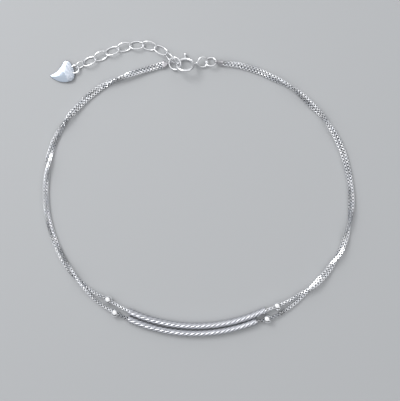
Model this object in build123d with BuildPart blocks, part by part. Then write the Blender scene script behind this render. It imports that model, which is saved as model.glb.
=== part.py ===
"""Payal anklet in silver: two fine box chains, twisted loosely round each other, run through four
beads and two curved tubes at the front and meet at the back in a spring ring clasp with an
extender and a heart tag.

It lies on a flat surface, z = 0, as a closed loop. The front tubes are at -Y and the clasp at
+Y, +Z is up, and the origin is under the middle of the outline. Millimetres and degrees.
"""

import os
from math import atan2, cos, degrees, pi, radians, sin, tan

from build123d import *

# Driving dimensions -------------------------------------------------------------------------

LOOP_CENTRE = Vector(0.0, -1.98, 0.0)   # middle of the loop; the extender stands out behind it

CHAIN_WIDTH = 0.76                      # outer size of one box chain, links and all

BEAD_DIAMETER = 2.0
BEAD_HOLE = 1.0

BAR_DIAMETER = 1.55                     # the curved tubes at the front
BAR_BORE = 1.12
BAR_BEND = 38.2                         # radius of their centre lines
BAR_HEIGHT = BAR_DIAMETER / 2

EYE_RADIUS = 0.44                       # eyes soldered on the end caps
EYE_WIRE = 0.24

CAP_MOUTH = (1.84, 0.98)                # width and depth where the two chains go in
CAP_NECK = (0.86, 0.56)
CAP_POCKET = (1.73, 0.89)
CAP_COLLAR = 0.50
CAP_POCKET_DEPTH = 0.42

JUMP_RADIUS = 1.45                      # jump ring at the left end
JUMP_WIRE = 0.46
SMALL_WIRE = 0.38                       # the two rings at the right end

CLASP_RADIUS = 2.05                     # spring ring
CLASP_TUBE = 0.72
CLASP_BORE = 0.44
CLASP_SLOT = 0.46                       # the slot in the outer wall that the knob runs in
CLASP_TILT = -39.0                      # it leans: its front edge is up, its back edge down
CLASP_EYE_RADIUS = 0.50
CLASP_EYE_BEARING = 13.0
GAP_START = 155.0                       # the mouth of the spring ring, from here
GAP_END = 205.0                         # to here round its own centre
LATCH_WIRE = 0.34
LATCH_START = 70.0                      # the latch wire reaches across the mouth
LATCH_END = 209.0
LATCH_TRAVEL = 50.0
KNOB_BEARING = 91.0
KNOB_LIFT = 50.0                        # the knob and its slot lean up out of the ring's plane
KNOB_WIRE = 0.34
KNOB_HEAD = 0.72
KNOB_REACH = 1.44                       # from the middle of the tube to the knob's end
MOUTH_RUN = 2.0                         # degrees the bore is cut past the mouth's two sides
BORE_RUN = 6.0                          # degrees of bore behind the open latch
SLOT_RUN = 8.0                          # degrees of slot past the knob at both ends

LINK_WIRE = 0.36                        # extender
LINK_LENGTH = 3.77
LINK_WIDTH = 2.48
TAG_RING_WIRE = 0.36                    # the small link that carries the heart tag
TAG_RING_LENGTH = 2.74
TAG_RING_WIDTH = 1.94
OVAL_END_SHARE = 0.80                   # a link's end radius, as a share of half its width

TAG_THICKNESS = 0.40
TAG_EYE_RADIUS = 0.92                   # half ring soldered to the tag's edge
TAG_EYE_WIRE = 0.44
TAG_EYE_START = -120.0
TAG_EYE_END = 145.0

# Routes of the two chains: bearing in degrees round the loop's centre, radius, height --------

ROUTE_OUTER = [
    (104.3, 33.23, 0.50),
    (108.0, 33.26, 0.40),
    (112.5, 33.46, 0.40),
    (117.4, 33.86, 0.40),
    (122.2, 34.20, 0.40),
    (127.0, 34.40, 0.40),
    (132.0, 34.84, 0.40),
    (138.0, 35.24, 0.40),
    (143.6, 35.56, 0.62),
    (148.2, 36.08, 1.28),
    (152.6, 36.89, 1.28),
    (158.0, 37.28, 0.62),
    (162.4, 37.23, 0.40),
    (166.6, 37.39, 0.40),
    (171.0, 36.08, 0.40),
    (176.0, 36.14, 0.40),
    (183.0, 35.98, 0.40),
    (191.0, 35.72, 0.40),
    (198.5, 35.34, 0.50),
    (205.4, 35.01, 0.70),
    (211.6, 34.64, 1.28),
    (216.2, 34.76, 1.28),
    (220.8, 34.71, 0.84),
    (226.0, 34.64, 0.66),
    (232.2, 34.11, 0.93),
    (236.6, 33.69, 0.91),
    (242.5, 33.36, 0.79),
    (250.6, 33.02, 0.775),
    (259.2, 32.78, 0.775),
    (267.9, 32.64, 0.775),
    (276.7, 32.60, 0.775),
    (283.7, 32.63, 0.775),
    (289.1, 32.72, 0.775),
    (293.1, 32.81, 0.78),
    (296.1, 32.92, 0.80),
    (298.4, 33.32, 0.92),
    (301.5, 33.77, 0.92),
    (305.6, 34.19, 0.62),
    (311.6, 34.49, 0.44),
    (318.2, 34.64, 0.40),
    (323.0, 34.80, 0.40),
    (328.0, 35.15, 0.46),
    (333.2, 35.50, 1.28),
    (337.8, 36.73, 1.28),
    (342.2, 37.13, 0.80),
    (347.0, 37.19, 0.40),
    (351.8, 36.66, 0.40),
    (358.4, 36.52, 0.40),
    (366.5, 36.38, 0.40),
    (375.0, 36.16, 0.40),
    (382.0, 35.96, 0.62),
    (388.4, 35.60, 1.28),
    (393.2, 35.90, 1.28),
    (399.0, 35.65, 0.60),
    (406.0, 35.30, 0.40),
    (410.8, 34.40, 0.40),
    (417.0, 33.60, 0.40),
    (424.0, 33.28, 0.40),
    (430.6, 32.92, 0.40),
    (436.0, 32.73, 0.46),
    (439.6, 32.47, 0.54),
]

ROUTE_INNER = [
    (104.3, 32.43, 0.50),
    (108.0, 32.46, 0.45),
    (112.5, 32.70, 0.72),
    (117.4, 33.09, 1.05),
    (122.2, 33.79, 1.28),
    (127.0, 34.80, 1.28),
    (132.0, 35.59, 0.80),
    (138.0, 36.08, 0.40),
    (143.6, 36.42, 0.40),
    (148.2, 36.68, 0.40),
    (152.6, 36.44, 0.40),
    (158.0, 36.48, 0.40),
    (162.4, 36.44, 0.40),
    (166.6, 36.36, 1.10),
    (171.0, 36.73, 1.28),
    (176.0, 36.85, 0.80),
    (183.0, 36.76, 0.50),
    (191.0, 36.52, 0.40),
    (198.5, 36.14, 0.40),
    (205.4, 35.86, 0.40),
    (211.6, 35.34, 0.40),
    (216.2, 34.30, 0.40),
    (220.0, 34.00, 0.42),
    (223.8, 33.43, 0.62),
    (226.9, 32.64, 0.93),
    (230.9, 32.21, 0.93),
    (237.1, 31.96, 0.80),
    (246.1, 31.45, 0.775),
    (255.1, 31.08, 0.775),
    (264.5, 30.86, 0.775),
    (273.8, 30.81, 0.775),
    (283.2, 30.92, 0.775),
    (291.1, 31.12, 0.775),
    (296.7, 31.31, 0.775),
    (301.3, 31.55, 0.79),
    (304.7, 31.93, 0.92),
    (308.3, 32.49, 0.92),
    (312.6, 33.16, 0.80),
    (318.2, 33.89, 1.28),
    (323.0, 35.26, 1.28),
    (328.0, 35.99, 0.80),
    (333.2, 36.42, 0.40),
    (337.8, 36.14, 0.40),
    (342.2, 36.38, 0.40),
    (347.0, 36.29, 1.28),
    (351.8, 37.09, 1.28),
    (358.4, 37.32, 0.62),
    (366.5, 37.17, 0.40),
    (375.0, 36.99, 0.40),
    (382.0, 36.80, 0.40),
    (388.4, 36.34, 0.40),
    (393.2, 35.44, 0.40),
    (399.0, 34.76, 0.40),
    (406.0, 34.58, 1.20),
    (410.8, 34.68, 1.28),
    (417.0, 34.28, 0.90),
    (424.0, 34.12, 0.40),
    (430.6, 33.69, 0.74),
    (436.0, 33.20, 1.20),
    (439.6, 32.85, 1.28),
]

# Extender links from the heart tag to the clasp: x, y, z of the middle, heading, pitch, roll ---

EXTENDER_LINKS = [
    (-25.870, 30.600, 0.749, 25.0, 0.5, -28.7),
    (-23.140, 31.870, 0.759, 23.3, -0.4, 29.4),
    (-20.380, 33.085, 0.700, 20.9, -1.1, -27.2),
    (-17.520, 34.020, 0.724, 13.5, 0.2, 28.9),
    (-14.550, 34.460, 0.644, 3.5, -1.1, -24.1),
    (-11.566, 34.330, 0.703, -10.9, 0.5, 27.7),
    (-8.780, 33.270, 0.740, -30.1, 5.8, -27.4),
    (-6.517, 31.450, 1.332, -41.5, 21.9, 65.7),
]

# Heart tag's outline round TAG_MIDDLE: each row is an arc's middle and its end, and the first
# arc starts where the last one ends.

TAG_MIDDLE = (-32.10, 28.05, 0.495)
TAG_PITCH = 5.0
TAG_OUTLINE = [
    ((-1.20, 0.45), (-0.25, 2.05)),                   # hollow side up to the upper lobe
    ((0.66, 2.72), (1.86, 1.98)),                     # upper lobe
    ((2.42, 0.85), (2.66, -0.45)),                    # edge with the eye
    ((2.28, -1.90), (1.36, -2.32)),                   # lower lobe
    ((-1.10, -2.22), (-3.05, -1.15)),                 # belly
    ((-3.18, -0.92), (-3.08, -0.70)),                 # tip
]
TAG_EYE_CENTRE = (2.78, 0.66)


def around(bearing, radius, height):
    """A point at a bearing and a radius round the loop's centre."""
    turn = radians(bearing)
    return LOOP_CENTRE + Vector(radius * cos(turn), radius * sin(turn), height)


def placed(x, y, z, heading=0.0, pitch=0.0, roll=0.0):
    """A plane whose x axis points along a heading, raised by a pitch, then rolled about it."""
    level = Plane.XY.rotated((0, 0, heading))
    ahead = level.x_dir * cos(radians(pitch)) + level.z_dir * sin(radians(pitch))
    normal = level.z_dir * cos(radians(pitch)) - level.x_dir * sin(radians(pitch))
    normal = normal.rotate(Axis((0, 0, 0), ahead), roll)
    return Plane(origin=(x, y, z), x_dir=ahead, z_dir=normal)


def save(piece, label):
    piece.part.label = label
    export_step(piece.part, f"parts/{label}.step")


def corner_radii(points):
    """Each corner's radius: 0.45 of its shorter run over the tangent of half the turn."""
    radii = []
    for before, here, after in zip(points, points[1:], points[2:]):
        run_in = here - before
        run_out = after - here
        shorter = min(run_in.length, run_out.length)
        radii.append(0.45 * shorter / tan(radians(run_in.get_angle(run_out) / 2)))
    return radii


def chain(label, route):
    """One box chain as a round tube of its outer size, along straight runs and tangent arcs."""
    points = [around(*row) for row in route]
    radii = corner_radii(points)
    with BuildPart() as tube:
        with BuildLine() as path:
            FilletPolyline(*points, radius=radii)
        line = path.wire()
        with BuildSketch(Plane(origin=line @ 0, z_dir=line % 0)):
            Circle(CHAIN_WIDTH / 2)
        sweep(path=line)
    ideal = line.length * CHAIN_WIDTH**2 * pi / 4
    print(f"{label}: length {line.length:.1f} mm, volume {tube.part.volume:.2f} of {ideal:.2f} mm3")
    print("  corner radii", " ".join(f"{radius:.1f}" for radius in radii))
    save(tube, label)


def bar(label, centre_x, centre_y, start, end):
    """A tube bent to BAR_BEND; start and end are angles from the loop's front, at its centre."""
    with BuildPart() as tube:
        with BuildLine() as path:
            CenterArc((centre_x, centre_y, BAR_HEIGHT), BAR_BEND, 270 + start, end - start)
        line = path.wire()
        with BuildSketch(Plane(origin=line @ 0, z_dir=line % 0)):
            Circle(BAR_DIAMETER / 2)
            Circle(BAR_BORE / 2, mode=Mode.SUBTRACT)
        sweep(path=line)
    save(tube, label)


def bead(label, bearing, radius, direction):
    """A round bead on the floor, drilled along the chain's direction."""
    centre = around(bearing, radius, BEAD_DIAMETER / 2)
    with BuildPart(Plane(origin=centre, z_dir=direction)) as ball:
        Sphere(BEAD_DIAMETER / 2)
        Hole(BEAD_HOLE / 2)
    save(ball, label)


def end_cap(label, mouth, tip, lean):
    """The cap soldered over both chains' ends, tapered from its mouth to a small upright eye."""
    ahead = (tip - mouth).normalized()
    across = Vector(0, 0, 1).cross(ahead)
    face = Plane(origin=mouth, x_dir=across, z_dir=ahead)
    shoulder = Plane(origin=mouth + ahead * CAP_COLLAR, x_dir=across, z_dir=ahead)
    neck = Plane(origin=tip, x_dir=across, z_dir=ahead)
    eye = Plane(origin=tip + ahead * EYE_RADIUS, x_dir=ahead, z_dir=across)
    with BuildPart() as cap:
        with BuildSketch(shoulder):
            SlotOverall(*CAP_MOUTH, rotation=lean)
        with BuildSketch(neck):
            SlotOverall(*CAP_NECK, rotation=lean)
        loft()
        with BuildSketch(face):
            SlotOverall(*CAP_MOUTH, rotation=lean)
        extrude(amount=CAP_COLLAR)
        with BuildSketch(face):
            SlotOverall(*CAP_POCKET, rotation=lean)
        extrude(amount=CAP_POCKET_DEPTH, mode=Mode.SUBTRACT)
        with Locations(eye.location):
            Torus(EYE_RADIUS, EYE_WIRE / 2)
    save(cap, label)


def ring(label, place, radius, wire):
    with BuildPart(place) as loop:
        Torus(radius, wire / 2)
    save(loop, label)


def oval_link(label, place, length, width, wire):
    """A closed oval link of round wire: two end arcs and two flatter side arcs that meet them."""
    half_width = (width - wire) / 2
    end_radius = OVAL_END_SHARE * half_width
    end_middle = (length - wire) / 2 - end_radius
    rise = half_width - end_radius
    side_middle = (end_middle**2 - rise**2) / (2 * rise)
    side_radius = half_width + side_middle
    meeting = degrees(atan2(side_middle, end_middle))
    with BuildPart() as link:
        with BuildLine(place) as path:
            CenterArc((end_middle, 0), end_radius, -meeting, 2 * meeting)
            CenterArc((0, -side_middle), side_radius, meeting, 180 - 2 * meeting)
            CenterArc((-end_middle, 0), end_radius, 180 - meeting, 2 * meeting)
            CenterArc((0, side_middle), side_radius, 180 + meeting, 180 - 2 * meeting)
        line = path.wire()
        with BuildSketch(Plane(origin=line @ 0, z_dir=line % 0)):
            Circle(wire / 2)
        sweep(path=line)
    save(link, label)


def arc_rod(place, radius, start, end, diameter):
    """A round rod bent along an arc in the given plane, to add to the part being built."""
    with BuildLine(place) as path:
        CenterArc((0, 0), radius, start, end - start)
    line = path.wire()
    with BuildSketch(Plane(origin=line @ 0, z_dir=line % 0)) as section:
        Circle(diameter / 2)
    return sweep(section.sketch, path=line, mode=Mode.PRIVATE)


def on_clasp(bearing, reach, lift=0.0):
    """A plane off the clasp's tube: z axis away from the tube's middle, lifted out of the ring."""
    out = CLASP.x_dir * cos(radians(bearing)) + CLASP.y_dir * sin(radians(bearing))
    away = out * cos(radians(lift)) + CLASP.z_dir * sin(radians(lift))
    along = CLASP.z_dir.cross(out)
    return Plane(origin=CLASP.origin + out * CLASP_RADIUS + away * reach, x_dir=along, z_dir=away)


CLASP = placed(-2.90, 29.63, 1.78, roll=CLASP_TILT)

os.makedirs("parts", exist_ok=True)

chain("chain_outer", ROUTE_OUTER)
chain("chain_inner", ROUTE_INNER)

bar("bar_outer", -0.50, 3.72, -24.9, 22.6)
bar("bar_inner", -0.36, 5.52, -24.9, 26.0)

bead("bead_left_outer", 234.4, 33.88, (0.893, -0.451, 0.0))
bead("bead_left_inner", 228.8, 32.46, (0.874, -0.486, 0.0))
bead("bead_right_outer", 299.9, 33.53, (0.955, 0.297, 0.0))
bead("bead_right_inner", 306.4, 32.22, (0.925, 0.380, 0.0))

end_cap("end_cap_left", Vector(-8.42, 29.784, 0.52), Vector(-7.24, 30.02, 0.62), 0)
end_cap("end_cap_right", Vector(6.10, 30.10, 0.93), Vector(4.98, 30.31, 0.89), 118)

# Left end: the jump ring takes the cap's eye, the extender's last link and the clasp.

ring("jump_ring", placed(-5.388, 30.017, 1.074, -2.6, 17.1, 17.4), JUMP_RADIUS, JUMP_WIRE)

# Right end: two rings between the clasp's eye and the cap's eye.

ring("ring_right_1", placed(1.257, 30.355, 1.14, 11.6, -7.8, 24.4), 1.20, SMALL_WIRE)
ring("ring_right_2", placed(3.242, 30.452, 0.897, -10.3, 4.5, -27.3), 1.22, SMALL_WIRE)

# Spring ring clasp: a hollow ring with a mouth, a slot for the knob and a soldered eye.

slot_in = CLASP_SLOT / 2
with BuildPart() as clasp_ring:
    add(arc_rod(CLASP, CLASP_RADIUS, GAP_END, GAP_START + 360, CLASP_TUBE))
    eye = on_clasp(CLASP_EYE_BEARING, CLASP_TUBE / 2 + CLASP_EYE_RADIUS)
    with Locations(Plane(origin=eye.origin, z_dir=Vector(0, 0, 1).cross(eye.z_dir)).location):
        Torus(CLASP_EYE_RADIUS, EYE_WIRE / 2)
    for rise, radius, start, end, diameter in (
        (0, CLASP_RADIUS, LATCH_START - LATCH_TRAVEL - BORE_RUN, GAP_START + MOUTH_RUN, CLASP_BORE),
        (0, CLASP_RADIUS, GAP_END - MOUTH_RUN, LATCH_END + MOUTH_RUN, CLASP_BORE),
        (
            slot_in * sin(radians(KNOB_LIFT)),
            CLASP_RADIUS + slot_in * cos(radians(KNOB_LIFT)),
            KNOB_BEARING - LATCH_TRAVEL - SLOT_RUN,
            KNOB_BEARING + SLOT_RUN,
            CLASP_SLOT,
        ),
    ):
        add(arc_rod(CLASP.offset(rise), radius, start, end, diameter), mode=Mode.SUBTRACT)
save(clasp_ring, "clasp_ring")

with BuildPart() as clasp_latch:
    add(arc_rod(CLASP, CLASP_RADIUS, LATCH_START, LATCH_END, LATCH_WIRE))
    with BuildSketch(on_clasp(KNOB_BEARING, 0, KNOB_LIFT)):
        Circle(KNOB_WIRE / 2)
    extrude(amount=KNOB_REACH - KNOB_HEAD / 2)
    with Locations(on_clasp(KNOB_BEARING, KNOB_REACH - KNOB_HEAD / 2, KNOB_LIFT).location):
        Sphere(KNOB_HEAD / 2)
save(clasp_latch, "clasp_latch")

for number, (x, y, z, heading, pitch, roll) in enumerate(EXTENDER_LINKS, 1):
    place = placed(x, y, z, heading, pitch, roll)
    oval_link(f"extender_link_{number}", place, LINK_LENGTH, LINK_WIDTH, LINK_WIRE)

tag_ring_place = placed(-28.10, 29.74, 0.81, 33.7, -2.4, 48.8)
oval_link("tag_ring", tag_ring_place, TAG_RING_LENGTH, TAG_RING_WIDTH, TAG_RING_WIRE)

tag_place = placed(*TAG_MIDDLE, pitch=TAG_PITCH)
tag_x, tag_y = TAG_EYE_CENTRE
tag_eye_place = tag_place.shift_origin(tag_place.from_local_coords((tag_x, tag_y, 0)))
with BuildPart() as heart_tag:
    with BuildSketch(tag_place):
        with BuildLine():
            start = TAG_OUTLINE[-1][1]
            for middle, end in TAG_OUTLINE:
                ThreePointArc(start, middle, end)
                start = end
        make_face()
    extrude(amount=TAG_THICKNESS / 2, both=True)
    add(arc_rod(tag_eye_place, TAG_EYE_RADIUS, TAG_EYE_START, TAG_EYE_END, TAG_EYE_WIRE))
save(heart_tag, "heart_tag")
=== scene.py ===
"""Payal anklet in silver, lying on a pale floor and seen from straight above.

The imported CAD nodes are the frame. This file lays the real links of the two box chains along
their routes, twists the front tubes into flutes, drills and polishes the beads, domes the heart
tag, gives every piece its silver, and sets up the floor, the lights and the camera. Metres and
degrees, +Z up.
"""

from math import atan2, ceil, cos, pi, radians, sin, tau

import bpy
import numpy as np
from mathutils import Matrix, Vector
from mathutils.geometry import delaunay_2d_cdt


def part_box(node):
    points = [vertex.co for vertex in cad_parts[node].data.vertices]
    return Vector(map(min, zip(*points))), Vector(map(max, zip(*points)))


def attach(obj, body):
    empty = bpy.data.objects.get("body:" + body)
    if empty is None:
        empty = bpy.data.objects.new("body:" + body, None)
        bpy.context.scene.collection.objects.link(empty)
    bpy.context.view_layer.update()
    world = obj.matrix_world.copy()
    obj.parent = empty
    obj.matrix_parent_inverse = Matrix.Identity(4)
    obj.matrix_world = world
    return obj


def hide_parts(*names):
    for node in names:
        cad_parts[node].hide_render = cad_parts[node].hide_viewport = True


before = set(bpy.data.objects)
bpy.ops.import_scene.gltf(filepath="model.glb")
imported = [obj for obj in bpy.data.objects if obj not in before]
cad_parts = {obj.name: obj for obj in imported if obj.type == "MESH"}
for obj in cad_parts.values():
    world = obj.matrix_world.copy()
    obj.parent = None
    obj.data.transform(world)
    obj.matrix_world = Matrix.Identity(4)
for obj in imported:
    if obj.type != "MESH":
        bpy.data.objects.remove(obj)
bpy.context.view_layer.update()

# Chains -------------------------------------------------------------------------------------

LOOP_CENTRE = Vector((0.0, -0.00198, 0.0))

# Routes of the two chains: bearing in degrees round the loop's centre, radius, height
ROUTE_OUTER = [
    (104.3, 0.03323, 0.00050),
    (108.0, 0.03326, 0.00040),
    (112.5, 0.03346, 0.00040),
    (117.4, 0.03386, 0.00040),
    (122.2, 0.03420, 0.00040),
    (127.0, 0.03440, 0.00040),
    (132.0, 0.03484, 0.00040),
    (138.0, 0.03524, 0.00040),
    (143.6, 0.03556, 0.00062),
    (148.2, 0.03608, 0.00128),
    (152.6, 0.03689, 0.00128),
    (158.0, 0.03728, 0.00062),
    (162.4, 0.03723, 0.00040),
    (166.6, 0.03739, 0.00040),
    (171.0, 0.03608, 0.00040),
    (176.0, 0.03614, 0.00040),
    (183.0, 0.03598, 0.00040),
    (191.0, 0.03572, 0.00040),
    (198.5, 0.03534, 0.00050),
    (205.4, 0.03501, 0.00070),
    (211.6, 0.03464, 0.00128),
    (216.2, 0.03476, 0.00128),
    (220.8, 0.03471, 0.00084),
    (226.0, 0.03464, 0.00066),
    (232.2, 0.03411, 0.00093),
    (236.6, 0.03369, 0.00091),
    (242.5, 0.03336, 0.00079),
    (250.6, 0.03302, 0.000775),
    (259.2, 0.03278, 0.000775),
    (267.9, 0.03264, 0.000775),
    (276.7, 0.03260, 0.000775),
    (283.7, 0.03263, 0.000775),
    (289.1, 0.03272, 0.000775),
    (293.1, 0.03281, 0.00078),
    (296.1, 0.03292, 0.00080),
    (298.4, 0.03332, 0.00092),
    (301.5, 0.03377, 0.00092),
    (305.6, 0.03419, 0.00062),
    (311.6, 0.03449, 0.00044),
    (318.2, 0.03464, 0.00040),
    (323.0, 0.03480, 0.00040),
    (328.0, 0.03515, 0.00046),
    (333.2, 0.03550, 0.00128),
    (337.8, 0.03673, 0.00128),
    (342.2, 0.03713, 0.00080),
    (347.0, 0.03719, 0.00040),
    (351.8, 0.03666, 0.00040),
    (358.4, 0.03652, 0.00040),
    (366.5, 0.03638, 0.00040),
    (375.0, 0.03616, 0.00040),
    (382.0, 0.03596, 0.00062),
    (388.4, 0.03560, 0.00128),
    (393.2, 0.03590, 0.00128),
    (399.0, 0.03565, 0.00060),
    (406.0, 0.03530, 0.00040),
    (410.8, 0.03440, 0.00040),
    (417.0, 0.03360, 0.00040),
    (424.0, 0.03328, 0.00040),
    (430.6, 0.03292, 0.00040),
    (436.0, 0.03273, 0.00046),
    (439.6, 0.03247, 0.00054),
]
ROUTE_INNER = [
    (104.3, 0.03243, 0.00050),
    (108.0, 0.03246, 0.00045),
    (112.5, 0.03270, 0.00072),
    (117.4, 0.03309, 0.00105),
    (122.2, 0.03379, 0.00128),
    (127.0, 0.03480, 0.00128),
    (132.0, 0.03559, 0.00080),
    (138.0, 0.03608, 0.00040),
    (143.6, 0.03642, 0.00040),
    (148.2, 0.03668, 0.00040),
    (152.6, 0.03644, 0.00040),
    (158.0, 0.03648, 0.00040),
    (162.4, 0.03644, 0.00040),
    (166.6, 0.03636, 0.00110),
    (171.0, 0.03673, 0.00128),
    (176.0, 0.03685, 0.00080),
    (183.0, 0.03676, 0.00050),
    (191.0, 0.03652, 0.00040),
    (198.5, 0.03614, 0.00040),
    (205.4, 0.03586, 0.00040),
    (211.6, 0.03534, 0.00040),
    (216.2, 0.03430, 0.00040),
    (220.0, 0.03400, 0.00042),
    (223.8, 0.03343, 0.00062),
    (226.9, 0.03264, 0.00093),
    (230.9, 0.03221, 0.00093),
    (237.1, 0.03196, 0.00080),
    (246.1, 0.03145, 0.000775),
    (255.1, 0.03108, 0.000775),
    (264.5, 0.03086, 0.000775),
    (273.8, 0.03081, 0.000775),
    (283.2, 0.03092, 0.000775),
    (291.1, 0.03112, 0.000775),
    (296.7, 0.03131, 0.000775),
    (301.3, 0.03155, 0.00079),
    (304.7, 0.03193, 0.00092),
    (308.3, 0.03249, 0.00092),
    (312.6, 0.03316, 0.00080),
    (318.2, 0.03389, 0.00128),
    (323.0, 0.03526, 0.00128),
    (328.0, 0.03599, 0.00080),
    (333.2, 0.03642, 0.00040),
    (337.8, 0.03614, 0.00040),
    (342.2, 0.03638, 0.00040),
    (347.0, 0.03629, 0.00128),
    (351.8, 0.03709, 0.00128),
    (358.4, 0.03732, 0.00062),
    (366.5, 0.03717, 0.00040),
    (375.0, 0.03699, 0.00040),
    (382.0, 0.03680, 0.00040),
    (388.4, 0.03634, 0.00040),
    (393.2, 0.03544, 0.00040),
    (399.0, 0.03476, 0.00040),
    (406.0, 0.03458, 0.00120),
    (410.8, 0.03468, 0.00128),
    (417.0, 0.03428, 0.00090),
    (424.0, 0.03412, 0.00040),
    (430.6, 0.03369, 0.00074),
    (436.0, 0.03320, 0.00120),
    (439.6, 0.03285, 0.00128),
]

ROUTE_STEPS = 16            # steps of the line from one of a route's points to the next
LINK_PITCH = 0.00040        # from one link's middle to the next one's, which is turned 90 degrees
LINK_LENGTH = 0.00057
LINK_WIDTH = 0.00074
LINK_STRIP = 0.00038        # height of the strip that a link is bent from
LINK_END_WALL = 0.00008     # the strip is pressed thin where it goes through the next link
LINK_SIDE_WALL = 0.00015
LINK_CORNER = 0.00016       # outer radius of a link's four corners
LINK_CORNER_STEPS = 3
LINK_BEVEL = 0.00002
LINK_CROWN = 0.16           # how far the strip's faces lean towards their edges
CHAIN_ROLL = 46.0           # the chains turn slowly about their own line, up to this much
CHAIN_ROLL_WAVES = (0.0372, 0.0231)

# Each chain's route, and the phase of its roll
CHAINS = {
    "chain_outer": (ROUTE_OUTER, 0.4),
    "chain_inner": (ROUTE_INNER, 2.1),
}

# Front tubes: middle of their bend, and where they start and end, in degrees from the front
BARS = {
    "bar_outer": (-0.00050, 0.00372, -24.9, 22.6),
    "bar_inner": (-0.00036, 0.00552, -24.9, 26.0),
}
BAR_BEND = 0.0382
BAR_RADIUS = 0.000775
BAR_BORE = 0.00056
BAR_FLUTES = 6
BAR_FLUTE_DEPTH = 0.00020
BAR_TWIST = 0.0072          # length of one whole turn
BAR_STEP = 0.00012
BAR_SIDES = 72
BAR_END_ROUND = 0.00012     # length of the rounding at each end
BAR_END_DROP = 0.6          # its depth, as a share of its length

# Beads: the direction they are drilled in
BEADS = {
    "bead_left_outer": (0.893, -0.451, 0.0),
    "bead_left_inner": (0.874, -0.486, 0.0),
    "bead_right_outer": (0.955, 0.297, 0.0),
    "bead_right_inner": (0.925, 0.380, 0.0),
}
BEAD_RADIUS = 0.00100
BEAD_HOLE = 0.00050
BEAD_LIP = 0.00009          # radius of the rounding at each end of the hole
BEAD_STEPS = 32
BEAD_LIP_STEPS = 6
BEAD_SIDES = 64

# Heart tag: each row of the outline is an arc's middle and its end, round the tag's middle
TAG_MIDDLE = Vector((-0.03210, 0.02805, 0.000495))
TAG_PITCH = 5.0
TAG_OUTLINE = [
    ((-0.00120, 0.00045), (-0.00025, 0.00205)),       # hollow side up to the upper lobe
    ((0.00066, 0.00272), (0.00186, 0.00198)),         # upper lobe
    ((0.00242, 0.00085), (0.00266, -0.00045)),        # edge with the eye
    ((0.00228, -0.00190), (0.00136, -0.00232)),       # lower lobe
    ((-0.00110, -0.00222), (-0.00305, -0.00115)),     # belly
    ((-0.00318, -0.00092), (-0.00308, -0.00070)),     # tip
]
TAG_EYE_CENTRE = (0.00278, 0.00066)
TAG_EYE_RADIUS = 0.00092
TAG_EYE_WIRE = 0.00022      # half the wire's width
TAG_EYE_START = -120.0
TAG_EYE_END = 145.0
TAG_EYE_STATIONS = 49
TAG_EYE_SIDES = 20
TAG_THICKNESS = 0.00040
TAG_RIM = 0.00011           # height and radius of the rounded rim
TAG_RIM_ROWS = (0.06, 0.2, 0.45, 0.75, 1.1)     # how far in its rows of points lie, in radii
TAG_RIM_LEAST = 0.05        # points nearer the outline than this, in radii, are left out
TAG_RIM_CLEAR = 1.5         # and the grid's own points where they are nearer than this
TAG_RISE = 3.0              # the dome sets in over this width, in radii
TAG_DOME_REACH = 0.0017     # from the rim to where the dome is level
TAG_GRID = 0.00009
TAG_ROW_GAP = 0.866         # between the grid's rows, as a share of TAG_GRID


# Meshes -------------------------------------------------------------------------------------

def piece(name, points, faces, material, body, nodes, normals=None):
    """A mesh piece that rides on a body, stands for CAD nodes and takes a finish."""
    mesh = bpy.data.meshes.new(name)
    mesh.from_pydata(np.asarray(points).tolist(), [], np.asarray(faces).tolist())
    mesh.shade_smooth()
    if normals is not None:
        mesh.normals_split_custom_set_from_vertices(np.asarray(normals).tolist())
    mesh.materials.append(material)
    thing = bpy.data.objects.new(name, mesh)
    bpy.context.scene.collection.objects.link(thing)
    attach(thing, body)
    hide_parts(*nodes)
    return thing


def point_attribute(thing, name, values):
    """A number on each point of a piece, for its finish to read."""
    layer = thing.data.attributes.new(name, "FLOAT", "POINT")
    layer.data.foreach_set("value", np.asarray(values, np.float32))


def grid_faces(rows, columns, close_rows=False, close_columns=True):
    """Quads over a grid of points, row after row, joined round in either direction."""
    row = np.arange(rows if close_rows else rows - 1)[:, None]
    column = np.arange(columns if close_columns else columns - 1)[None, :]
    next_row = (row + 1) % rows
    next_column = (column + 1) % columns
    corners = [
        row * columns + column,
        next_row * columns + column,
        next_row * columns + next_column,
        row * columns + next_column,
    ]
    return np.stack(np.broadcast_arrays(*corners), -1).reshape(-1, 4)


def around(bearing, radius, height):
    """A point at a bearing and a radius round the loop's centre."""
    turn = radians(bearing)
    return LOOP_CENTRE + Vector((radius * cos(turn), radius * sin(turn), height))


def route_points(name, route):
    """The chain's centre line: a smooth spline with the route's points as its control points."""
    curve = bpy.data.curves.new(name, "CURVE")
    curve.dimensions = "3D"
    curve.resolution_u = ROUTE_STEPS
    spline = curve.splines.new("NURBS")
    spline.points.add(len(route) - 1)
    for point, row in zip(spline.points, route):
        point.co = (*around(*row), 1.0)
    spline.order_u = 3
    spline.use_endpoint_u = True
    holder = bpy.data.objects.new(name, curve)
    mesh = bpy.data.meshes.new_from_object(holder)
    line = np.array([vertex.co for vertex in mesh.vertices])
    bpy.data.objects.remove(holder)
    bpy.data.curves.remove(curve)
    bpy.data.meshes.remove(mesh)
    return line


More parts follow.
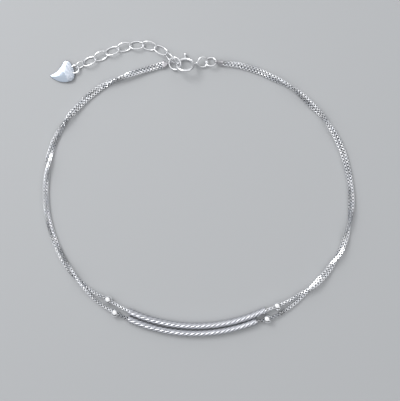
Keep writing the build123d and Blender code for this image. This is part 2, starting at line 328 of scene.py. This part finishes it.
def box_link():
    """One link lying along x, its loop in the xy plane: points, normals, faces, inside or not."""
    top = LINK_STRIP / 2
    low = top - LINK_BEVEL
    points, normals, inside = [], [], []
    for quarter in range(4):
        middle = radians(45 + 90 * quarter)
        corner = np.array((
            np.sign(cos(middle)) * (LINK_LENGTH / 2 - LINK_CORNER),
            np.sign(sin(middle)) * (LINK_WIDTH / 2 - LINK_CORNER),
            0.0,
        ))
        for step in range(LINK_CORNER_STEPS + 1):
            turn = middle + radians(90) * (step / LINK_CORNER_STEPS - 0.5)
            out = np.array((cos(turn), sin(turn), 0.0))
            wall = np.array((out[0] * LINK_END_WALL, out[1] * LINK_SIDE_WALL, 0.0))
            outer = corner + out * LINK_CORNER
            inner = outer - wall
            thick = np.linalg.norm(wall)
            ease = wall * LINK_BEVEL / thick
            # Each corner of the strip's section, and the way it faces: outwards and upwards
            for place, height, outwards, upwards in (
                (outer, low, 1.0, LINK_CROWN),
                (outer - ease, top, 0.0, 1.0),
                (inner + ease, top, 0.0, 1.0),
                (inner, low, -1.0, 0.0),
                (inner, -low, -1.0, 0.0),
                (inner + ease, -top, 0.0, -1.0),
                (outer - ease, -top, 0.0, -1.0),
                (outer, -low, 1.0, -LINK_CROWN),
            ):
                points.append(place + np.array((0.0, 0.0, height)))
                normals.append(out * outwards + np.array((0.0, 0.0, upwards)))
                inside.append(float(outwards < 0))
    normals = np.array(normals)
    normals /= np.linalg.norm(normals, axis=1)[:, None]
    stations = 4 * (LINK_CORNER_STEPS + 1)
    faces = grid_faces(stations, len(points) // stations, True)
    return np.array(points), normals, faces, np.array(inside)


def chain(name, route, phase, material):
    """Box links along the chain's line, every other one turned 90 degrees, as one mesh."""
    line = route_points(name + "_line", route)
    travelled = np.concatenate(([0.0], np.cumsum(np.linalg.norm(np.diff(line, axis=0), axis=1))))
    count = int((travelled[-1] - LINK_LENGTH) / LINK_PITCH)
    spare = travelled[-1] - count * LINK_PITCH
    places = spare / 2 + LINK_PITCH * np.arange(count + 1)

    def at(distance):
        return np.stack([np.interp(distance, travelled, line[:, k]) for k in range(3)], -1)

    ahead = at(places + LINK_PITCH / 2) - at(places - LINK_PITCH / 2)
    ahead /= np.linalg.norm(ahead, axis=1)[:, None]
    level = np.cross((0.0, 0.0, 1.0), ahead)
    level /= np.linalg.norm(level, axis=1)[:, None]
    upright = np.cross(ahead, level)
    waves = [np.sin(tau * places / wave + phase) for wave in CHAIN_ROLL_WAVES]
    roll = radians(CHAIN_ROLL) * waves[0] * np.abs(waves[1])
    roll += radians(90) * (np.arange(count + 1) % 2)
    across = level * np.cos(roll)[:, None] + upright * np.sin(roll)[:, None]
    up = np.cross(ahead, across)
    turns = np.stack((ahead, across, up), 1)

    points, normals, faces, inside = box_link()
    offsets = len(points) * np.arange(count + 1)[:, None, None]
    thing = piece(
        name + "_links",
        (points @ turns + at(places)[:, None, :]).reshape(-1, 3),
        (faces[None] + offsets).reshape(-1, 4),
        material,
        "root",
        [name],
        (normals @ turns).reshape(-1, 3),
    )
    point_attribute(thing, "inside", np.tile(inside, count + 1))
    shades = np.random.default_rng(len(route)).random(count + 1)
    point_attribute(thing, "shade", np.repeat(shades, len(points)))


def twisted_bar(name, centre_x, centre_y, start, end, material):
    """A fluted tube bent to BAR_BEND, its flutes winding round it, with a smooth bore."""
    span = radians(end - start)
    count = ceil(BAR_BEND * span / BAR_STEP)
    place = np.linspace(0.0, 1.0, count + 1)
    bearing = radians(270 + start) + span * place
    travelled = BAR_BEND * span * place
    side = tau * np.arange(BAR_SIDES) / BAR_SIDES
    lobe = np.abs(np.cos(BAR_FLUTES / 2 * (side[None] - tau * travelled[:, None] / BAR_TWIST)))
    outer = BAR_RADIUS - BAR_FLUTE_DEPTH * (1 - lobe)
    from_end = np.minimum(travelled, travelled[-1] - travelled)
    closing = np.clip(1 - from_end / BAR_END_ROUND, 0.0, 1.0)
    outer -= BAR_END_ROUND * (1 - np.sqrt(1 - closing**2))[:, None] * BAR_END_DROP
    bore = np.full((count + 1, BAR_SIDES), BAR_BORE)

    def skin(radii):
        out = BAR_BEND + radii * np.cos(side)[None]
        x = centre_x + out * np.cos(bearing)[:, None]
        y = centre_y + out * np.sin(bearing)[:, None]
        z = BAR_RADIUS + radii * np.sin(side)[None]
        return np.stack((x, y, z), -1).reshape(-1, 3)

    skins = np.concatenate((skin(outer), skin(bore)))
    wall = grid_faces(count + 1, BAR_SIDES)
    lining = wall[:, ::-1] + (count + 1) * BAR_SIDES
    rim = np.arange(BAR_SIDES)
    next_rim = (rim + 1) % BAR_SIDES
    second = (count + 1) * BAR_SIDES
    last = count * BAR_SIDES
    first_end = np.stack((rim, next_rim, next_rim + second, rim + second), -1)
    last_end = np.stack((rim, rim + second, next_rim + second, next_rim), -1) + last
    faces = np.concatenate((wall, lining, first_end, last_end))
    piece(name + "_fluted", skins, faces, material, "root", [name])


def drilled_bead(name, direction, material):
    """A polished bead turned on its own hole, with a rounded lip at each end of the hole."""
    low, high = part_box(name)
    centre = (low + high) / 2
    ahead = Vector(direction).normalized()
    profile = []
    reach = BEAD_RADIUS - BEAD_LIP
    lip_out = BEAD_HOLE + BEAD_LIP
    lip_along = (reach**2 - lip_out**2) ** 0.5
    lean = atan2(lip_along, lip_out)
    for step in range(BEAD_STEPS + 1):
        turn = lean - 2 * lean * step / BEAD_STEPS
        profile.append((BEAD_RADIUS * cos(turn), BEAD_RADIUS * sin(turn)))
    for end in (-1, 1):
        for step in range(1, BEAD_LIP_STEPS + 1):
            swing = step / BEAD_LIP_STEPS
            turn = lean + (pi - lean) * (swing if end < 0 else 1 - swing)
            out = lip_out + BEAD_LIP * cos(turn)
            profile.append((out, end * (lip_along + BEAD_LIP * sin(turn))))
    across = ahead.orthogonal().normalized()
    up = ahead.cross(across)
    points = []
    for out, along in profile:
        for side in range(BEAD_SIDES):
            turn = tau * side / BEAD_SIDES
            points.append(centre + ahead * along + (across * cos(turn) + up * sin(turn)) * out)
    piece(
        name + "_polished",
        points,
        grid_faces(len(profile), BEAD_SIDES, True),
        material,
        "root",
        [name],
    )


def arc_points(start, middle, end, spacing):
    """Points along the arc through three points, without its last one."""
    a, b, c = (complex(*point) for point in (start, middle, end))
    ratio = (c - a) / (b - a)
    centre = (b - a) * (ratio - abs(ratio) ** 2) / (2j * ratio.imag) + a
    sweep_middle = (b - centre) / (a - centre)
    sweep_end = (c - centre) / (a - centre)
    turn = atan2(sweep_middle.imag, sweep_middle.real)
    whole = atan2(sweep_end.imag, sweep_end.real)
    if turn * whole < 0:
        whole += tau if turn > 0 else -tau
    count = max(4, ceil(abs(a - centre) * abs(whole) / spacing))
    spots = []
    for step in range(count):
        swing = whole * step / count
        spot = centre + (a - centre) * complex(cos(swing), sin(swing))
        spots.append((spot.real, spot.imag))
    return spots


def distance_to_loop(points, loop):
    """Distance from each point to the nearest side of a closed loop of points."""
    starts = loop
    sides = np.roll(loop, -1, axis=0) - starts
    to_point = points[:, None] - starts[None]
    share = np.clip((to_point * sides).sum(-1) / (sides**2).sum(-1), 0.0, 1.0)
    return np.linalg.norm(to_point - share[..., None] * sides, axis=-1).min(1)


def inside_loop(points, loop):
    """Whether each point lies inside a closed loop of points."""
    start, end = loop, np.roll(loop, -1, axis=0)
    x, y = points[:, :1], points[:, 1:]
    straddles = (start[:, 1] > y) != (end[:, 1] > y)
    rise = end[:, 1] - start[:, 1]
    rise = np.where(rise == 0, 1e-12, rise)
    crossing = start[:, 0] + (y - start[:, 1]) * (end[:, 0] - start[:, 0]) / rise
    return (straddles & (x < crossing)).sum(1) % 2 == 1


def tag_eye():
    """The half ring on the tag's edge: points in the tag's plane, their heights and triangles."""
    stations, sides = TAG_EYE_STATIONS, TAG_EYE_SIDES
    turn = np.radians(np.linspace(TAG_EYE_START, TAG_EYE_END, stations))[:, None]
    side = tau * np.arange(sides) / sides
    reach = TAG_EYE_RADIUS + TAG_EYE_WIRE * np.cos(side)
    spots = np.stack((reach * np.cos(turn), reach * np.sin(turn)), -1).reshape(-1, 2)
    ends = TAG_EYE_RADIUS * np.concatenate((np.cos(turn[[0, -1]]), np.sin(turn[[0, -1]])), 1)
    flat = np.concatenate((spots, ends)) + TAG_EYE_CENTRE
    heights = np.append(np.tile(TAG_EYE_WIRE * np.sin(side), stations), (0.0, 0.0))
    walls = grid_faces(stations, sides)
    rim = np.arange(sides)
    next_rim = (rim + 1) % sides
    last = (stations - 1) * sides
    first_end = np.stack((rim, next_rim, np.full(sides, len(spots))), -1)
    last_end = np.stack((last + next_rim, last + rim, np.full(sides, len(spots) + 1)), -1)
    triangles = (walls[:, [0, 1, 2]], walls[:, [0, 2, 3]], first_end, last_end)
    return flat, heights, np.concatenate(triangles)


def heart(material):
    """The heart tag: a plate domed on both sides, with a rounded rim and an eye on its edge."""
    outline = []
    start = TAG_OUTLINE[-1][1]
    for middle, end in TAG_OUTLINE:
        outline += arc_points(start, middle, end, TAG_GRID)
        start = end
    outline = np.array(outline)

    spots = [outline]
    step_in = np.roll(outline, -1, axis=0) - np.roll(outline, 1, axis=0)
    step_in /= np.linalg.norm(step_in, axis=1)[:, None]
    inwards = np.stack((step_in[:, 1], -step_in[:, 0]), -1)
    for share in TAG_RIM_ROWS:
        spots.append(outline + inwards * TAG_RIM * share)
    low, high = outline.min(0), outline.max(0)
    columns = np.arange(low[0], high[0], TAG_GRID)
    rows = np.arange(low[1], high[1], TAG_GRID * TAG_ROW_GAP)
    grid = np.stack(np.meshgrid(columns, rows), -1)
    grid[1::2, :, 0] += TAG_GRID / 2
    grid = grid.reshape(-1, 2)
    spots.append(grid[distance_to_loop(grid, outline) > TAG_RIM * TAG_RIM_CLEAR])
    flat = np.concatenate(spots)
    away = distance_to_loop(flat, outline)
    keep = inside_loop(flat, outline) & (away > TAG_RIM * TAG_RIM_LEAST)
    keep[: len(outline)] = True
    flat = flat[keep]
    edges = [(k, (k + 1) % len(outline)) for k in range(len(outline))]
    made = delaunay_2d_cdt([Vector(spot) for spot in flat.tolist()], edges, [], 0, 1e-9)
    flat = np.array([tuple(spot) for spot in made[0]])
    triangles = np.array(made[2])
    triangles = triangles[inside_loop(flat[triangles].mean(1), outline)]

    away = distance_to_loop(flat, outline)
    rim = 1 - np.clip(away / TAG_RIM, 0.0, 1.0)
    dome = 1 - np.clip(away / TAG_DOME_REACH, 0.0, 1.0)
    height = TAG_RIM * np.sqrt(np.clip(1 - rim**2, 0.0, 1.0))
    rising = np.clip(away / (TAG_RISE * TAG_RIM), 0.0, 1.0)
    height += (TAG_THICKNESS / 2 - TAG_RIM) * (1 - dome**2) * rising
    on_edge = away < 1e-8
    height[on_edge] = 0.0

    lean = radians(TAG_PITCH)
    ahead = np.array((cos(lean), 0.0, sin(lean)))
    normal = np.array((-sin(lean), 0.0, cos(lean)))
    across = np.array((0.0, 1.0, 0.0))

    def lifted(spots, heights):
        place = spots[:, :1] * ahead + spots[:, 1:] * across
        return place + heights[:, None] * normal + np.array(TAG_MIDDLE)

    under = np.arange(len(flat)) + len(flat)
    under[on_edge] = np.arange(len(flat))[on_edge]
    points = np.concatenate((lifted(flat, height), lifted(flat, -height)))
    used = np.unique(np.concatenate((triangles.ravel(), under[triangles].ravel())))
    renumber = np.full(len(points), -1)
    renumber[used] = np.arange(len(used))
    eye_flat, eye_heights, eye_faces = tag_eye()
    points = np.concatenate((points[used], lifted(eye_flat, eye_heights)))
    below = under[triangles][:, ::-1]
    faces = np.concatenate((renumber[triangles], renumber[below], eye_faces + len(used)))
    thing = piece(
        "heart_tag_domed", points, faces, material, "root", ["heart_tag"]
    )
    point_attribute(thing, "plate", np.arange(len(points)) < len(used))


# Materials ----------------------------------------------------------------------------------

# Scales of the noises, in features to a metre
CLOUD_SCALE = 900.0
POLISH_SCALE = 2600.0
LINK_POLISH_SCALE = 4000.0
MARK_SCALE = 9000.0
MARK_STRETCH = (1.0, 0.25, 1.0)
MARK_DEPTH = 0.00001

# The box links: their faces' darkest and brightest tone, and the painted shade, near black, on the
# inner walls of the links
LINK_TONES = ((0.80, 0.82, 0.86), (0.97, 0.97, 0.98))
LINK_INSIDE_PAINTED_SHADE = (0.05, 0.055, 0.065)
LINK_ROUGHNESS = (0.10, 0.24)

# The tag's satin field starts at a line: a point on that line, and the direction across it
SATIN_EDGE = TAG_MIDDLE + Vector((0.00015, 0.00007, 0.0))
SATIN_ACROSS = Vector((0.926, 0.377, 0.0))
SATIN_BLEND = (-0.0002, 0.0003)         # it fades in between these distances from the line
SATIN_TONES = ((0.28, 0.31, 0.36), (0.46, 0.49, 0.54))
SATIN_MOTTLE_SCALE = 2400.0
SATIN_MOTTLE_RANGE = (0.35, 0.65)
SATIN_GRAIN_SCALE = 5200.0
SATIN_GRAIN_STRENGTH = 0.8
SATIN_GRAIN_DEPTH = 0.00003
# Painted reflection: the polished tip is coloured a dim blue, as if it reflected a blue surface
TAG_TIP_PAINTED_REFLECTION = (0.44, 0.50, 0.58)
TAG_EYE_TONE = (0.90, 0.91, 0.93)
TAG_ROUGHNESS = (0.16, 0.36)            # polished, and satin


def wired(tree, kind, inputs=None, **settings):
    """A shader node with its settings, and its inputs given as values or other nodes' outputs."""
    node = tree.nodes.new(kind)
    for name, value in settings.items():
        setattr(node, name, value)
    for name, value in (inputs or {}).items():
        if isinstance(value, bpy.types.NodeSocket):
            tree.links.new(value, node.inputs[name])
        else:
            node.inputs[name].default_value = value
    return node


def new_material(name):
    """A material without any node yet."""
    material = bpy.data.materials.new(name)
    material.use_nodes = True
    material.node_tree.nodes.clear()
    return material, material.node_tree


def spread(tree, factor, low, high):
    """A factor from 0 to 1 turned into a value between low and high."""
    inputs = {"Value": factor, "To Min": low, "To Max": high}
    return wired(tree, "ShaderNodeMapRange", inputs).outputs["Result"]


def noise(tree, scale, detail=3.0, roughness=0.5, stretch=None):
    """Noise in the piece's own metres."""
    place = wired(tree, "ShaderNodeTexCoord").outputs["Object"]
    if stretch:
        place = wired(
            tree, "ShaderNodeMapping", {"Vector": place, "Scale": stretch}
        ).outputs["Vector"]
    inputs = {"Vector": place, "Scale": scale, "Detail": detail, "Roughness": roughness}
    return wired(tree, "ShaderNodeTexNoise", inputs).outputs["Fac"]


def blend_colours(tree, factor, low, high):
    """A mix of two colours, of which either may come from another node."""
    mix = wired(tree, "ShaderNodeMix", data_type="RGBA")
    for name, value in (("Factor", factor), ("A", low), ("B", high)):
        socket = [s for s in mix.inputs if s.name == name and s.enabled][0]
        if isinstance(value, bpy.types.NodeSocket):
            tree.links.new(value, socket)
        else:
            socket.default_value = (*value, 1.0)
    return [s for s in mix.outputs if s.enabled][0]


def finish_metal(tree, colour, roughness, normal=None):
    """Ends a finish as bare metal."""
    inputs = {"Base Color": colour, "Metallic": 1.0, "Roughness": roughness}
    if normal:
        inputs["Normal"] = normal
    shader = wired(tree, "ShaderNodeBsdfPrincipled", inputs)
    wired(tree, "ShaderNodeOutputMaterial", {"Surface": shader.outputs["BSDF"]})


def silver(name, low, high, rough_low, rough_high, scratch):
    """Bright silver: a faint cloudy tone, uneven polish and hair-fine polishing marks."""
    material, tree = new_material(name)
    colour = blend_colours(tree, noise(tree, CLOUD_SCALE), low, high)
    roughness = spread(tree, noise(tree, POLISH_SCALE), rough_low, rough_high)
    marks = noise(tree, MARK_SCALE, stretch=MARK_STRETCH)
    bump = wired(
        tree, "ShaderNodeBump", {"Height": marks, "Strength": scratch, "Distance": MARK_DEPTH}
    )
    finish_metal(tree, colour, roughness, bump.outputs["Normal"])
    return material


def link_silver():
    """The box links: bright faces, painted shade on the inner walls of the links, each link a
    little different.
    """
    material, tree = new_material("chain_silver_with_painted_shade")
    shade = wired(tree, "ShaderNodeAttribute", attribute_name="shade").outputs["Fac"]
    inside = wired(tree, "ShaderNodeAttribute", attribute_name="inside").outputs["Fac"]
    face = blend_colours(tree, shade, *LINK_TONES)
    # Painted shade: the inner walls of the links are coloured near black
    colour = blend_colours(tree, inside, face, LINK_INSIDE_PAINTED_SHADE)
    roughness = spread(tree, noise(tree, LINK_POLISH_SCALE), *LINK_ROUGHNESS)
    finish_metal(tree, colour, roughness)
    return material


def heart_silver():
    """The tag: polished at the tip, with a painted bluish reflection there, a mottled satin field
    over the lobes, and a bright eye.
    """
    material, tree = new_material("tag_silver_with_painted_reflection")
    place = wired(tree, "ShaderNodeTexCoord").outputs["Object"]
    offset = wired(
        tree, "ShaderNodeVectorMath", {0: place, 1: SATIN_EDGE}, operation="SUBTRACT"
    ).outputs["Vector"]
    past = wired(
        tree, "ShaderNodeVectorMath", {0: offset, 1: SATIN_ACROSS}, operation="DOT_PRODUCT"
    ).outputs["Value"]
    lobes = wired(
        tree,
        "ShaderNodeMapRange",
        {"Value": past, "From Min": SATIN_BLEND[0], "From Max": SATIN_BLEND[1]},
        interpolation_type="SMOOTHSTEP",
    ).outputs["Result"]
    plate = wired(tree, "ShaderNodeAttribute", attribute_name="plate").outputs["Fac"]
    satin = wired(
        tree, "ShaderNodeMath", {0: lobes, 1: plate}, operation="MULTIPLY"
    ).outputs["Value"]
    cloud = noise(tree, SATIN_MOTTLE_SCALE, detail=2.0)
    least, most = SATIN_MOTTLE_RANGE
    mottle = wired(
        tree, "ShaderNodeMapRange", {"Value": cloud, "From Min": least, "From Max": most}
    ).outputs["Result"]
    field = blend_colours(tree, mottle, *SATIN_TONES)
    # Painted reflection: the tip takes a dim blue colour in place of bare silver
    colour = blend_colours(tree, satin, TAG_TIP_PAINTED_REFLECTION, field)
    colour = blend_colours(tree, plate, TAG_EYE_TONE, colour)
    roughness = spread(tree, satin, *TAG_ROUGHNESS)
    grain = noise(tree, SATIN_GRAIN_SCALE, detail=2.0)
    height = wired(tree, "ShaderNodeMath", {0: grain, 1: satin}, operation="MULTIPLY")
    inputs = {
        "Height": height.outputs["Value"],
        "Strength": SATIN_GRAIN_STRENGTH,
        "Distance": SATIN_GRAIN_DEPTH,
    }
    bump = wired(tree, "ShaderNodeBump", inputs)
    finish_metal(tree, colour, roughness, bump.outputs["Normal"])
    return material


# Plain silvers: the two tones and the two roughnesses that each varies between, and its marks
TUBE = ((0.50, 0.51, 0.55), (0.66, 0.67, 0.70), 0.26, 0.36, 0.15)
BEAD = ((0.92, 0.93, 0.95), (0.97, 0.97, 0.98), 0.04, 0.09, 0.03)
RING = ((0.90, 0.91, 0.93), (0.97, 0.97, 0.98), 0.07, 0.15, 0.08)
CLASP = ((0.90, 0.91, 0.93), (0.97, 0.97, 0.98), 0.06, 0.13, 0.06)
CAP = ((0.50, 0.49, 0.51), (0.62, 0.61, 0.63), 0.24, 0.36, 0.15)

CHAIN_SILVER = link_silver()
TUBE_SILVER = silver("tube_silver_finish", *TUBE)
BEAD_SILVER = silver("bead_silver_finish", *BEAD)
RING_SILVER = silver("ring_silver_finish", *RING)
CLASP_SILVER = silver("clasp_silver_finish", *CLASP)
CAP_SILVER = silver("cap_silver_finish", *CAP)
HEART_SILVER = heart_silver()

for chain_name, (route, phase) in CHAINS.items():
    chain(chain_name, route, phase, CHAIN_SILVER)
for bar_name, row in BARS.items():
    twisted_bar(bar_name, *row, TUBE_SILVER)
for bead_name, direction in BEADS.items():
    drilled_bead(bead_name, direction, BEAD_SILVER)
heart(HEART_SILVER)

for node_name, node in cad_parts.items():
    finish = RING_SILVER
    if node_name.startswith("clasp"):
        finish = CLASP_SILVER
    if node_name.startswith("end_cap"):
        finish = CAP_SILVER
    node.data.materials.clear()
    node.data.materials.append(finish)

# Studio -------------------------------------------------------------------------------------

FLOOR_SIZE = 6.0
FLOOR_DROP = 0.00002        # the floor is this far below the anklet
FLOOR_TONE = (0.46, 0.47, 0.48)
FLOOR_ROUGHNESS = 0.9
CAMERA_CENTRE = (0.00060, -0.00270)
CAMERA_VIEW = 0.09624       # height of the picture on the floor
CAMERA_LENS = 85.0
CAMERA_SENSOR = 36.0

# Square lamps: bearing, elevation, distance, size and radiance
LAMPS = {
    "key": (135.0, 46.0, 0.35, 0.15, 7.0),
    "fill": (-35.0, 28.0, 0.40, 0.12, 1.4),
}

# The dome's brightest point, and its tone by the cosine of the angle from there
SKY_TOP = Vector((-0.24, 0.24, 0.941))
SKY_TONES = [(0.0, 0.14), (1.0, 0.98), (0.20, 0.09), (0.34, 0.38), (0.50, 0.80), (0.74, 0.96)]
SKY_TINT = (1.0, 1.01, 1.03)


def plain(name, colour, roughness):
    """An even, unpatterned finish."""
    material, tree = new_material(name)
    inputs = {"Base Color": (*colour, 1.0), "Roughness": roughness}
    shader = wired(tree, "ShaderNodeBsdfPrincipled", inputs)
    wired(tree, "ShaderNodeOutputMaterial", {"Surface": shader.outputs["BSDF"]})
    return material


def floor():
    """The pale surface that the anklet lies on."""
    half = FLOOR_SIZE / 2
    corners = [
        (x, y, -FLOOR_DROP) for x, y in ((-half, -half), (half, -half), (half, half), (-half, half))
    ]
    mesh = bpy.data.meshes.new("floor")
    mesh.from_pydata(corners, [], [(0, 1, 2, 3)])
    mesh.materials.append(plain("floor_paper", FLOOR_TONE, FLOOR_ROUGHNESS))
    thing = bpy.data.objects.new("floor", mesh)
    bpy.context.scene.collection.objects.link(thing)


def softbox(name, bearing, elevation, distance, size, radiance):
    """A square lamp that looks at the anklet from a bearing and an elevation."""
    turn, rise = radians(bearing), radians(elevation)
    back = Vector((cos(turn) * cos(rise), sin(turn) * cos(rise), sin(rise)))
    lamp = bpy.data.lights.new(name, "AREA")
    lamp.shape = "SQUARE"
    lamp.size = size
    lamp.energy = radiance * pi * size**2
    thing = bpy.data.objects.new(name, lamp)
    bpy.context.scene.collection.objects.link(thing)
    thing.location = back * distance
    thing.rotation_mode = "QUATERNION"
    thing.rotation_quaternion = back.to_track_quat("Z", "Y")


def sky():
    """A plain studio dome: brightest near overhead, towards the key lamp, dim at the horizon."""
    world = bpy.data.worlds.new("studio")
    world.use_nodes = True
    tree = world.node_tree
    tree.nodes.clear()
    direction = wired(tree, "ShaderNodeTexCoord").outputs["Generated"]
    height = wired(
        tree, "ShaderNodeVectorMath", {0: direction, 1: SKY_TOP}, operation="DOT_PRODUCT"
    ).outputs["Value"]
    ramp = wired(tree, "ShaderNodeValToRGB", {"Fac": height})
    stops = ramp.color_ramp.elements
    for spot, (position, tone) in enumerate(SKY_TONES):
        stop = stops[spot] if spot < 2 else stops.new(position)
        stop.position = position
        stop.color = (*(tone * tint for tint in SKY_TINT), 1.0)
    light = wired(tree, "ShaderNodeBackground", {"Color": ramp.outputs["Color"], "Strength": 1.0})
    wired(tree, "ShaderNodeOutputWorld", {"Surface": light.outputs["Background"]})
    bpy.context.scene.world = world


def camera():
    """Straight down, as the anklet was seen."""
    lens = bpy.data.cameras.new("camera")
    lens.lens = CAMERA_LENS
    lens.sensor_width = CAMERA_SENSOR
    distance = CAMERA_VIEW * CAMERA_LENS / CAMERA_SENSOR
    lens.clip_start = distance / 100
    lens.clip_end = FLOOR_SIZE * 2
    thing = bpy.data.objects.new("camera", lens)
    bpy.context.scene.collection.objects.link(thing)
    thing.location = (*CAMERA_CENTRE, distance)
    bpy.context.scene.camera = thing


floor()
for lamp_name, lamp_row in LAMPS.items():
    softbox(lamp_name, *lamp_row)
sky()
camera()
bpy.context.scene.view_settings.view_transform = "Standard"
